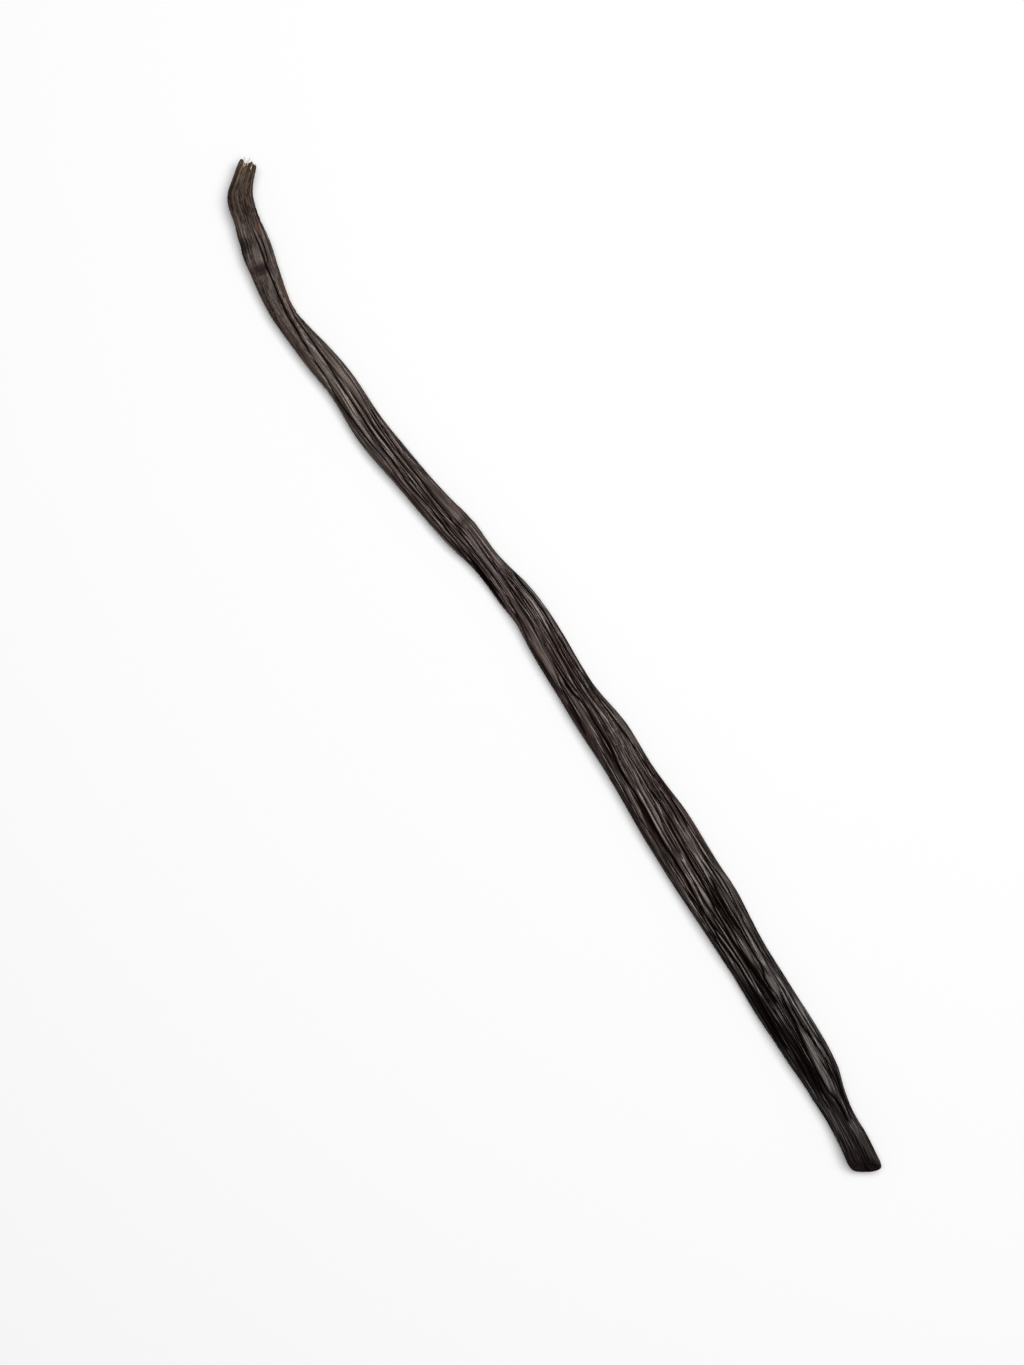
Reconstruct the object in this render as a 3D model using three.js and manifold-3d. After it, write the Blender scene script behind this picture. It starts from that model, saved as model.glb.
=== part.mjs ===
// A cured vanilla pod: one long, thin, flattened fruit, furrowed lengthwise by drying.
//
// Millimetres, +Z up. The pod lies on the plane z = 0, with both ends lifted a little. +X runs
// from the stem end to the blossom end. The origin is on that plane, at the middle of the
// pod's bounding box.

import * as THREE from 'three';
import { mergeVertices } from 'three/addons/utils/BufferGeometryUtils.js';
import Module from 'manifold-3d';

const wasm = await Module();
wasm.setup();

// ---- Driving dimensions ---------------------------------------------------------------------

const POD_LENGTH = 178;

// Stations along the pod. Each row holds the distance from the stem tip, then the sideways bow of
// the middle line, the lift off the plane, the width across and the thickness.
const STATIONS = [
  [0, -0.1, 2.0, 3.1, 2.4],
  [1.7, -2.0, 1.85, 3.35, 2.55],
  [3.7, -3.75, 1.65, 4.1, 2.7],
  [7, -4.65, 1.35, 4.15, 2.8],
  [11, -5.55, 1.05, 4.85, 2.85],
  [15, -6.4, 0.8, 4.55, 2.9],
  [21, -7.3, 0.45, 4.05, 3.0],
  [25, -7.05, 0.3, 4.15, 3.15],
  [30, -6.27, 0.15, 4.6, 3.35],
  [36, -5.4, 0, 4.75, 3.5],
  [44, -5.2, 0, 5.35, 3.6],
  [52, -4.0, 0, 4.9, 3.65],
  [60, -2.6, 0, 5.35, 3.7],
  [64, -1.72, 0, 5.55, 3.7],
  [70, -0.75, 0, 4.7, 3.7],
  [76, 0.2, 0, 5.5, 3.75],
  [81, 0.78, 0, 5.4, 3.85],
  [90, 0.67, 0, 5.8, 3.95],
  [95, 0.75, 0, 6.0, 4.05],
  [102, 1.35, 0, 6.75, 4.2],
  [110, 1.42, 0, 6.85, 4.35],
  [124, 1.6, 0, 8.0, 4.5],
  [137, 1.7, 0, 7.1, 4.35],
  [150, 1.56, 0.05, 7.0, 4.1],
  [158, 1.7, 0.2, 6.85, 3.8],
  [163, 1.68, 0.4, 6.1, 3.5],
  [166, 1.32, 0.55, 5.2, 3.35],
  [170, 1.0, 0.85, 4.4, 3.1],
  [174, 0.8, 1.1, 4.9, 3.25],
  [POD_LENGTH, 0.35, 1.3, 5.4, 3.6],
];
const [BOW, LIFT, WIDTH, THICKNESS] = [1, 2, 3, 4];

const FLAT_DEPTH = 0.15;        // how much of the round underside is pressed flat where it rests
const RING_STEP = 1.8;          // distance between the rings of facets along the pod

// The main furrows, with a ridge between each two. Each has its share of the full depth: the three
// deep ones are the seams between the faces of the fruit, and the face after the first is smooth.
const FURROW_SHARES = [0.6, 0.4, 0.7, 1, 0.3, 0.25, 0.5, 1, 0.45, 0.65, 0.4, 0.95];
const COLUMNS_PER_RIDGE = 4;
const FURROW_DEPTH = 0.5;       // of a full furrow on a pod FULL_WIDTH across, and less where narrower
const FULL_WIDTH = 7;
const WINDING = 1.6;            // radians that the furrows turn round the pod from end to end
const WINDING_START = 0.3;      // share of the length at which the first furrow has its own angle

const FACE_RELIEF = 0.045;      // how far the three blunt faces of the fruit depart from an oval
const SWELL = 0.022;            // how much the pod swells and shrinks over the seeds inside
const SHOULDER = 0.11;          // how far the shoulders stand out from an oval, which flattens the top

// Transverse dents near the stem: distance along the pod, angle round it, depth.
const DENTS = [
  [10.4, 2.2, 0.26],
  [14.6, 1.75, 0.3],
  [63.5, 1.1, 0.2],
];
const DENT_LENGTH = 0.9;        // half length along the pod
const DENT_SPAN = 0.75;         // half span round the pod, in radians

// The blossom end is drawn out a little and broken off slantwise: its +Y side and its underside
// reach furthest, so that its face shows from above.
const END_STRETCH = 0.45;
const END_SLANT = 1.05;
const END_RAKE = 1.1;
const END_REACH = 4;

// The torn stem tip and its splinters of dry fibre.
const TEAR_DEPTH = 0.5;
const TEAR_REACH = 3;
const SPLINTERS = 5;
const SPLINTER_LENGTH = 1.9;
const SPLINTER_RADIUS = 0.19;

// ---- The pod's shape as functions of distance and angle ----------------------------------------

const { smoothstep } = THREE.MathUtils;

// One column of STATIONS at any distance: a cubic through the rows, with the slope at a row
// taken from its two neighbours.
function station(column, distance) {
  const last = STATIONS.length - 1;
  let next = 1;
  while (next < last && distance > STATIONS[next][0]) next += 1;
  const [start, end] = [STATIONS[next - 1], STATIONS[next]];
  const slope = (row) => {
    const before = STATIONS[Math.max(row - 1, 0)];
    const after = STATIONS[Math.min(row + 1, last)];
    return (after[column] - before[column]) / (after[0] - before[0]);
  };
  const span = end[0] - start[0];
  const t = (distance - start[0]) / span;
  const rise = t * t * (3 - 2 * t);
  return start[column] * (1 - rise) + end[column] * rise
    + span * t * (1 - t) * ((1 - t) * slope(next - 1) - t * slope(next));
}

// Ridges are uneven in width, wind slowly round the pod and waver a little.
function ridgeAngle(turn, distance) {
  const uneven = 0.12 * Math.sin(2 * turn + 1.1) + 0.07 * Math.sin(3 * turn + 2) + 0.04 * Math.sin(5 * turn);
  const waver = 0.09 * Math.sin(distance / 15) + 0.04 * Math.sin(distance / 6.3 + 1);
  return turn + uneven + waver + WINDING * (distance / POD_LENGTH - WINDING_START);
}

// How deep the surface is cut at a place. Each furrow deepens and fades along its own length,
// and all of them fade where the pod rests.
function furrowDepth(turn, angle, distance) {
  const furrows = FURROW_SHARES.length;
  const phase = turn * furrows / (2 * Math.PI);
  const furrow = (Math.round(phase) + furrows) % furrows;
  const valley = (0.5 + 0.5 * Math.cos(2 * Math.PI * phase)) ** 1.5;
  const fading = 0.75 + 0.25 * Math.sin(distance / (7 + 2.5 * (furrow % 4)) + 2.4 * furrow);
  const narrowing = station(WIDTH, distance) / FULL_WIDTH;
  const resting = smoothstep(-Math.sin(angle), 0.75, 0.93);
  return FURROW_DEPTH * FURROW_SHARES[furrow] * valley * fading * narrowing * (1 - resting);
}

function dentDepth(angle, distance) {
  return DENTS.reduce((depth, [place, middle, deepest]) => {
    const along = (distance - place) / DENT_LENGTH;
    const round = 2 * Math.sin((angle - middle) / 2) / DENT_SPAN;
    return depth + deepest * Math.exp(-along * along - round * round);
  }, 0);
}

// The fruit has full shoulders and three blunt faces, and swells over the seeds.
function bulge(angle, distance) {
  const faces = Math.cos(3 * (angle - WINDING * distance / POD_LENGTH - 0.4));
  const swelling = Math.sin(distance / 4.1) + Math.sin(distance / 2.7 + 2);
  return (1 + FACE_RELIEF * faces + SWELL * swelling) * (1 + SHOULDER * Math.sin(2 * angle) ** 2);
}

function middle(distance) {
  const height = station(LIFT, distance) + station(THICKNESS, distance) / 2 - FLAT_DEPTH;
  return new THREE.Vector3(distance, station(BOW, distance), height);
}

// The direction of the middle line and, square to it, the directions across and up.
function directions(distance) {
  const reach = 0.5;
  const from = middle(Math.max(distance - reach, 0));
  const along = middle(Math.min(distance + reach, POD_LENGTH)).sub(from).normalize();
  const across = new THREE.Vector3(-along.y, along.x, 0).normalize();
  const up = new THREE.Vector3().crossVectors(along, across);
  return { along, across, up };
}

// The point of the surface at a distance along the pod and a turn round it. A radius of 1 is the
// skin, and less than 1 lies on one of the ends.
function surfacePoint(distance, turn, radius) {
  const angle = ridgeAngle(turn, distance);
  const cut = furrowDepth(turn, angle, distance) + dentDepth(angle, distance);
  const scale = bulge(angle, distance);
  const halfWidth = station(WIDTH, distance) / 2 * scale - cut;
  const halfThickness = station(THICKNESS, distance) / 2 * scale - cut;
  const { along, across, up } = directions(distance);
  const tear = TEAR_DEPTH * Math.sin(3 * turn + 0.6) * (1 - smoothstep(distance, 0, TEAR_REACH));
  const slant = END_SLANT * Math.cos(angle) - END_RAKE * Math.sin(angle);
  const ending = (END_STRETCH + radius * slant) * smoothstep(distance, POD_LENGTH - END_REACH, POD_LENGTH);
  const point = middle(distance)
    .addScaledVector(across, radius * halfWidth * Math.cos(angle))
    .addScaledVector(up, radius * halfThickness * Math.sin(angle))
    .addScaledVector(along, radius * tear + ending);
  point.z = Math.max(point.z, 0);
  return point;
}

// ---- Solids ------------------------------------------------------------------------------------

// A closed three.js geometry as a manifold solid. Only positions count, so that vertices at one
// place become one vertex, and the triangles that this collapses are dropped.
function toSolid(geometry) {
  geometry.deleteAttribute('normal');
  geometry.deleteAttribute('uv');
  const merged = mergeVertices(geometry);
  const triangles = [];
  for (let i = 0; i < merged.index.count; i += 3) {
    const [a, b, c] = [0, 1, 2].map((k) => merged.index.getX(i + k));
    if (a !== b && b !== c && c !== a) triangles.push(a, b, c);
  }
  const mesh = new wasm.Mesh({
    numProp: 3,
    vertProperties: new Float32Array(merged.attributes.position.array),
    triVerts: new Uint32Array(triangles),
  });
  return new wasm.Manifold(mesh);
}

function toGeometry(solid) {
  const mesh = solid.getMesh();
  const geometry = new THREE.BufferGeometry();
  geometry.setAttribute('position', new THREE.BufferAttribute(new Float32Array(mesh.vertProperties), 3));
  geometry.setIndex(new THREE.BufferAttribute(new Uint32Array(mesh.triVerts), 1));
  geometry.computeVertexNormals();
  return geometry;
}

// Half the outline of a straight pod of radius 1, from the middle of the stem tip to the middle of
// the blossom scar, which is a shallow cup inside a rounded rim.
function podProfile() {
  const stemTip = [[0, 0.3], [0.5, 0.15], [0.85, 0], [0.97, 0.5]];
  const blossomScar = [[1, 1], [0.97, 0.5], [0.88, 0.12], [0.74, 0], [0.5, 0.3], [0, 0.7]];
  const profile = stemTip.map(([radius, distance]) => new THREE.Vector2(radius, distance));
  const rings = Math.round((POD_LENGTH - 2) / RING_STEP);
  for (let ring = 0; ring < rings; ring += 1) {
    profile.push(new THREE.Vector2(1, 1 + (POD_LENGTH - 2) * ring / rings));
  }
  for (const [radius, inset] of blossomScar) {
    profile.push(new THREE.Vector2(radius, POD_LENGTH - inset));
  }
  return profile;
}

// The straight pod turned round its axis, then every vertex moved to its place on the real one.
function podBody() {
  const geometry = new THREE.LatheGeometry(podProfile(), FURROW_SHARES.length * COLUMNS_PER_RIDGE);
  const position = geometry.attributes.position;
  for (let i = 0; i < position.count; i += 1) {
    const radius = Math.hypot(position.getX(i), position.getZ(i));
    const turn = Math.atan2(position.getX(i), position.getZ(i));
    const point = surfacePoint(position.getY(i), turn, radius);
    position.setXYZ(i, point.x, point.y, point.z);
  }
  return toSolid(geometry);
}

// One splinter of fibre: a thin cone rooted inside the torn tip, leaning outwards.
function splinter(index) {
  const turn = index * 2 * Math.PI / SPLINTERS + 0.4;
  const length = SPLINTER_LENGTH * (0.75 + 0.25 * Math.sin(2.4 * index));
  const root = surfacePoint(0.6, turn, 0.62);
  const { along, across, up } = directions(0);
  const lean = new THREE.Vector3()
    .addScaledVector(across, 0.35 * Math.cos(turn))
    .addScaledVector(up, 0.25 * Math.sin(turn))
    .addScaledVector(along, -1)
    .normalize();
  const cone = new THREE.ConeGeometry(SPLINTER_RADIUS, length, 5);
  cone.translate(0, length / 2, 0);
  cone.applyQuaternion(new THREE.Quaternion().setFromUnitVectors(new THREE.Vector3(0, 1, 0), lean));
  cone.translate(root.x, root.y, root.z);
  return toSolid(cone);
}

// ---- The part ----------------------------------------------------------------------------------

let solid = podBody();
for (let index = 0; index < SPLINTERS; index += 1) {
  solid = solid.add(splinter(index));
}

const geometry = toGeometry(solid);
geometry.computeBoundingBox();
const { min, max } = geometry.boundingBox;
geometry.translate(-(min.x + max.x) / 2, -(min.y + max.y) / 2, -min.z);

const skin = new THREE.MeshStandardMaterial({ color: 0x39302c, roughness: 0.5, metalness: 0 });
const pod = new THREE.Mesh(geometry, skin);
pod.name = 'pod';

const part = new THREE.Group();
part.add(pod);

export default part;
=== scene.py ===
# %% [markdown]
# # A cured vanilla pod
# A vanilla pod is a long thin fruit. It is picked green, sweated and dried for months, and ends up
# flat, nearly black, oily and furrowed from end to end. This lesson dresses a plain solid of one pod
# with a skin fine enough to look at closely: every furrow and wrinkle is real relief in a mesh, and
# a node material adds only the colour, the sheen and the finest grain.

# %% Load the solid that the skin is fitted to
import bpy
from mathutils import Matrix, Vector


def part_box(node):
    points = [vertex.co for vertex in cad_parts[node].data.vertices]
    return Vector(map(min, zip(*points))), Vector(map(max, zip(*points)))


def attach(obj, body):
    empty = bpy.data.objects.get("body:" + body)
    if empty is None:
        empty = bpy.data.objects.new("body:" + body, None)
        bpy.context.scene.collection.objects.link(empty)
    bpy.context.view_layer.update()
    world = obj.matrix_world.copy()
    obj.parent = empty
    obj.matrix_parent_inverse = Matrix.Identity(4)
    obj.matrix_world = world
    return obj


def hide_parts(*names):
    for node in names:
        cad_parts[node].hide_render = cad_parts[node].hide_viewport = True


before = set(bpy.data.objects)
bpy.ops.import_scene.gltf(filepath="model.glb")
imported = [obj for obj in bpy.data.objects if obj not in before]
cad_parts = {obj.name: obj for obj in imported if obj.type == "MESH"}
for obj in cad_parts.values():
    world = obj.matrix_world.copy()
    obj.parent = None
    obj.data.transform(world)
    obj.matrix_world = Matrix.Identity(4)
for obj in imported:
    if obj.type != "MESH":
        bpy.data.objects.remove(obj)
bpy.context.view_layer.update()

# %% Modules and units
import math
import bpy
import numpy as np
from mathutils import Matrix, Vector

MM = 0.001                      # one millimetre in Blender's metres
rng = np.random.default_rng(7)  # one seeded source, so that every run gives the same pod

# %% [markdown]
# ## The pod's driving sizes
# The skin follows the same sizes as the solid. A pod is easiest to describe by stations along its
# middle line: how far the line bows sideways, how far it is lifted off the table, and how wide and
# thick the pod is there. A cubic through the stations fills in the rest, which keeps the outline
# smooth with only a few numbers.

# %% Stations along the pod
POD_LENGTH = 178.0
FLAT_DEPTH = 0.15
STATIONS = np.array([
    # distance, bow, lift, width, thickness, all in millimetres
    [0, -0.1, 2.0, 3.1, 2.4],
    [1.7, -2.0, 1.85, 3.35, 2.55],
    [3.7, -3.75, 1.65, 4.1, 2.7],
    [7, -4.65, 1.35, 4.15, 2.8],
    [11, -5.55, 1.05, 4.85, 2.85],
    [15, -6.4, 0.8, 4.55, 2.9],
    [21, -7.3, 0.45, 4.05, 3.0],
    [25, -7.05, 0.3, 4.15, 3.15],
    [30, -6.27, 0.15, 4.6, 3.35],
    [36, -5.4, 0, 4.75, 3.5],
    [44, -5.2, 0, 5.35, 3.6],
    [52, -4.0, 0, 4.9, 3.65],
    [60, -2.6, 0, 5.35, 3.7],
    [64, -1.72, 0, 5.55, 3.7],
    [70, -0.75, 0, 4.7, 3.7],
    [76, 0.2, 0, 5.5, 3.75],
    [81, 0.78, 0, 5.4, 3.85],
    [90, 0.67, 0, 5.8, 3.95],
    [95, 0.75, 0, 6.0, 4.05],
    [102, 1.35, 0, 6.75, 4.2],
    [110, 1.42, 0, 6.85, 4.35],
    [124, 1.6, 0, 8.0, 4.5],
    [137, 1.7, 0, 7.1, 4.35],
    [150, 1.56, 0.05, 7.0, 4.1],
    [158, 1.7, 0.2, 6.85, 3.8],
    [163, 1.68, 0.4, 6.1, 3.5],
    [166, 1.32, 0.55, 5.2, 3.35],
    [170, 1.0, 0.85, 4.4, 3.1],
    [174, 0.8, 1.1, 4.9, 3.25],
    [POD_LENGTH, 0.35, 1.3, 5.4, 3.6],
])
BOW, LIFT, WIDTH, THICKNESS = 1, 2, 3, 4


def through(places, values, at):
    """A smooth cubic through values at places, read at any other places."""
    slopes = np.empty(len(values))
    slopes[1:-1] = (values[2:] - values[:-2]) / (places[2:] - places[:-2])
    slopes[0] = (values[1] - values[0]) / (places[1] - places[0])
    slopes[-1] = (values[-1] - values[-2]) / (places[-1] - places[-2])
    after = np.clip(np.searchsorted(places, at), 1, len(places) - 1)
    before = after - 1
    span = places[after] - places[before]
    t = (at - places[before]) / span
    rise = t * t * (3 - 2 * t)
    bend = span * t * (1 - t) * ((1 - t) * slopes[before] - t * slopes[after])
    return values[before] * (1 - rise) + values[after] * rise + bend


def station(column, distance):
    return through(STATIONS[:, 0], STATIONS[:, column], distance)


print("width at the waist and the belly:", station(WIDTH, np.array([72.0, 121.0])).round(2))

# %% [markdown]
# ## A sheet of samples rolled round the pod
# A grid of rings and columns is the simplest mesh for a long fruit, and numpy can shape all of it
# at once. Furrows run lengthwise, so the columns are close together (under 0.1 mm) while the rings can
# be half a millimetre apart. The first and last rings close the ends: a torn stem tip, and the
# blossom scar, which is a shallow cup inside a rounded rim.

# %% Rings and columns
COLUMNS = 272
BODY_RINGS = 334
CAP_RINGS = 15
STEM_CAP = np.array([[0, 0.3], [0.5, 0.15], [0.85, 0], [0.97, 0.45], [1, 1]])
BLOSSOM_CAP = np.array([[1, 1], [0.97, 0.5], [0.88, 0.12], [0.74, 0], [0.5, 0.3], [0, 0.7]])


def cap_rings(corners, count):
    """Radius and depth of the rings of an end cap, evenly spaced along its profile."""
    steps = np.hypot(*np.diff(corners, axis=0).T)
    along = np.concatenate([[0], np.cumsum(steps)])
    at = np.linspace(0, along[-1], count)
    return np.array([through(along, corners[:, k], at) for k in (0, 1)])


stem_radius, stem_depth = cap_rings(STEM_CAP, CAP_RINGS)
scar_radius, scar_depth = cap_rings(BLOSSOM_CAP, CAP_RINGS)
body_distance = np.linspace(1, POD_LENGTH - 1, BODY_RINGS + 2)[1:-1]
ring_radius = np.concatenate([stem_radius, np.ones(BODY_RINGS), scar_radius]).clip(0, 1)
ring_distance = np.concatenate([stem_depth, body_distance, POD_LENGTH - scar_depth])
turn, distance = np.meshgrid(2 * np.pi * np.arange(COLUMNS) / COLUMNS, ring_distance)
ring_radius = ring_radius[:, None]
print("samples:", distance.shape)

# %% [markdown]
# ## Which way the ridges run
# The ridges of a pod are uneven in width, wind slowly round it and waver a little. Every furrow is
# placed by its turn, a coordinate that follows the ridges, and this helper turns it into the true
# angle round the pod: 0 is the side facing +Y and a quarter turn further is the top.

# %% From ridge turns to true angles
WINDING = 1.6
WINDING_START = 0.3


def ridge_angle(turn, distance):
    uneven = 0.12 * np.sin(2 * turn + 1.1) + 0.07 * np.sin(3 * turn + 2) + 0.04 * np.sin(5 * turn)
    waver = 0.09 * np.sin(distance / 15) + 0.04 * np.sin(distance / 6.3 + 1)
    return turn + uneven + waver + WINDING * (distance / POD_LENGTH - WINDING_START)


def smoothstep(value, low, high):
    t = np.clip((value - low) / (high - low), 0, 1)
    return t * t * (3 - 2 * t)


FULL_WIDTH = 7                  # a pod this wide has furrows of their full depth
NECK_END = (5, 10)

angle = ridge_angle(turn, distance)
narrowing = station(WIDTH, distance) / FULL_WIDTH
neck = 1 - smoothstep(distance, *NECK_END)      # 1 on the slim neck below the stem tip
mean_radius = np.hypot(station(WIDTH, distance), station(THICKNESS, distance)) / math.sqrt(8)
print("mean radius from", mean_radius.min().round(2), "to", mean_radius.max().round(2), "mm")

# %% [markdown]
# ## The smooth form
# All the relief is cut inwards from one smooth form, so the pod keeps the outline of its solid. The
# form is a flattened round with full shoulders and three blunt faces, and it swells over the
# seeds. Its points seen from above give every place of the upper skin a distance and an offset,
# which later cells use to draw furrows and patches where they are wanted.

# %% The middle line and the directions square to it
REACH = 0.5                     # the middle line's direction is taken this far to both sides


def middle_line(distance):
    height = station(LIFT, distance) + station(THICKNESS, distance) / 2 - FLAT_DEPTH
    return np.stack([distance, station(BOW, distance), height], axis=-1)


def unit(vectors):
    return vectors / np.linalg.norm(vectors, axis=-1, keepdims=True)


def directions(distance):
    """Unit vectors along the pod, across it and up."""
    start = middle_line(np.clip(distance - REACH, 0, POD_LENGTH))
    end = middle_line(np.clip(distance + REACH, 0, POD_LENGTH))
    along = unit(end - start)
    across = unit(np.stack([-along[..., 1], along[..., 0], np.zeros_like(distance)], axis=-1))
    return along, across, np.cross(along, across)


ends = middle_line(np.array([0, POD_LENGTH])).round(2)
print("the middle line runs from", ends[0], "to", ends[1])

# %% The form under the relief
FACE_RELIEF, SWELL, SHOULDER = 0.045, 0.022, 0.11
FACES, FIRST_FACE = 3, 0.4
SWELL_LENGTHS = (4.1, 2.7)
ABOVE = (-0.05, 0.2)            # sines of the angle between which the flank passes into the upper skin

faces = np.cos(FACES * (angle - WINDING * distance / POD_LENGTH - FIRST_FACE))
swelling = np.sin(distance / SWELL_LENGTHS[0]) + np.sin(distance / SWELL_LENGTHS[1] + 2)
scale = (1 + FACE_RELIEF * faces + SWELL * swelling) * (1 + SHOULDER * np.sin(2 * angle) ** 2)
form_width = station(WIDTH, distance) / 2 * scale
form_thickness = station(THICKNESS, distance) / 2 * scale
along, across, up = directions(distance)
form = middle_line(distance) + across * (form_width * np.cos(angle))[..., None]
upper_skin = smoothstep(np.sin(angle), *ABOVE)
print("the form is", (form[..., 1].max() - form[..., 1].min()).round(2), "mm across")

# %% [markdown]
# ## The main furrows
# Twelve furrows part the pod into its main ridges. Three of them are the seams between the faces
# of the fruit and cut deep. A cosine raised to a power gives a narrow valley between round-backed
# ridges, and each furrow deepens and fades along its own length. They shape the underside and the
# flanks, and stay faint on the upper skin, which has furrows of its own.

# %% Main furrows
FURROW_SHARES = np.array([0.6, 0.4, 0.7, 1, 0.3, 0.25, 0.5, 1, 0.45, 0.65, 0.4, 0.95])
FURROW_DEPTH = 0.5
UPPER_FADE, NECK_FADE = 0.75, 0.5       # how much they lose on the upper skin and on the neck


def valleys(phase):
    """1 at every whole number, in narrow valleys between round-backed ridges."""
    return (0.5 + 0.5 * np.cos(2 * np.pi * phase)) ** 3


phase = turn * len(FURROW_SHARES) / (2 * np.pi)
furrow = np.round(phase).astype(int) % len(FURROW_SHARES)
fading = 0.75 + 0.25 * np.sin(distance / (7 + 2.5 * (furrow % 4)) + 2.4 * furrow)
main_furrows = FURROW_DEPTH * FURROW_SHARES[furrow] * valleys(phase) * fading * narrowing
main_furrows = main_furrows * (1 - UPPER_FADE * upper_skin) * (1 - NECK_FADE * neck)
print("deepest main furrow:", main_furrows.max().round(2), "mm")

# %% [markdown]
# ## Noise that closes up round the pod
# The finer relief needs randomness that is smooth and meets itself behind the pod. Value noise on
# a lattice that is rolled up like the skin does both: each lattice cell blends its four corner values
# with a smooth step. Several such noises, coarse and fine, add up to a natural unevenness.

# %% Lattice noise
def skin_noise(cells_round, cell_length):
    """Smooth random heights from -1 to 1, with so many cells round the pod and of that length."""
    rows = int(POD_LENGTH / cell_length) + 3
    lattice = rng.uniform(-1, 1, (rows, cells_round))
    across = (turn / (2 * np.pi)) * cells_round
    along = np.clip(distance, 0, POD_LENGTH) / cell_length
    column, row = np.floor(across).astype(int), np.floor(along).astype(int)
    u, v = (t * t * t * (t * (6 * t - 15) + 10) for t in (across - column, along - row))
    right = (column + 1) % cells_round
    near = lattice[row, column % cells_round] * (1 - u) + lattice[row, right] * u
    far = lattice[row + 1, column % cells_round] * (1 - u) + lattice[row + 1, right] * u
    return near * (1 - v) + far * v


def layered(*layers):
    """Noises added up, each with its height, its cells round the pod and its cell length."""
    return sum(height * skin_noise(cells_round, length) for height, cells_round, length in layers)


unevenness = layered((0.08, 13, 3), (0.05, 21, 1.6))
depth_noise = 0.85 + layered((0.3, 9, 5))
print("drawn furrows stray up to", np.abs(unevenness).max().round(2), "mm from their course")

# %% [markdown]
# ## Furrows of the upper skin
# The upper skin shows its furrows one by one: they run for centimetres, swing from side to side,
# come together and part again. Each is laid down as a curve seen from above, with a depth and a
# half width of its own, and a little noise keeps its course uneven.

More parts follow.
